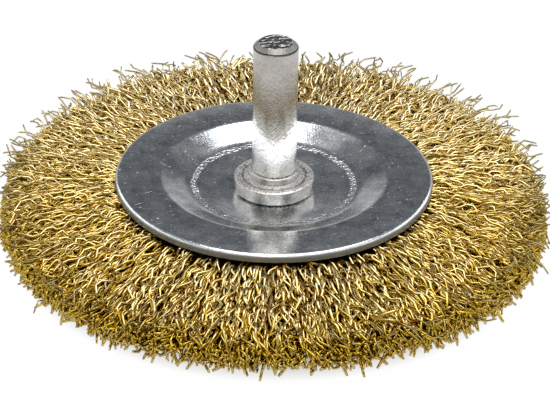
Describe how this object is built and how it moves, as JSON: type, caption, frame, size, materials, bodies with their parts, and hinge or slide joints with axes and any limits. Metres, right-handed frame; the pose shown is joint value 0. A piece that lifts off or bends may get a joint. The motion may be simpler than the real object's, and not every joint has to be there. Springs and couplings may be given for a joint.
{
  "type": "wire wheel brush",
  "caption": "Round wheel of crimped brass-coated steel wires clamped between two dished steel plates, with a plain straight shank for a drill chuck.",
  "frame": {"origin": "centre of the rear plate's rim plane, on which the brush lies", "axes": "+Z along the shank, from the plates towards its free end; +X to the right in the picture's view, +Y away from the viewer"},
  "size_m": [0.075, 0.075, 0.0291],
  "materials": {
    "shank_steel": "satin, finely scratched",
    "collar_steel": "turned, satin",
    "zinced_sheet": "bright zinc, finely speckled",
    "brassed_wire": "bright drawn wire"
  },
  "bodies": {
    "root": {"shank": "shank_steel", "collar": "collar_steel", "front_plate": "zinced_sheet", "rear_plate": "zinced_sheet", "hub_spacer": "collar_steel", "core_ring": "collar_steel", "wire_bundle_01": "brassed_wire", "wire_bundle_02": "brassed_wire", "wire_bundle_03": "brassed_wire", "wire_bundle_04": "brassed_wire", "wire_bundle_05": "brassed_wire", "wire_bundle_06": "brassed_wire", "wire_bundle_07": "brassed_wire", "wire_bundle_08": "brassed_wire", "wire_bundle_09": "brassed_wire", "wire_bundle_10": "brassed_wire", "wire_bundle_11": "brassed_wire", "wire_bundle_12": "brassed_wire", "wire_bundle_13": "brassed_wire", "wire_bundle_14": "brassed_wire", "wire_bundle_15": "brassed_wire", "wire_bundle_16": "brassed_wire", "wire_bundle_17": "brassed_wire", "wire_bundle_18": "brassed_wire", "wire_bundle_19": "brassed_wire", "wire_bundle_20": "brassed_wire"}
  },
  "joints": []
}
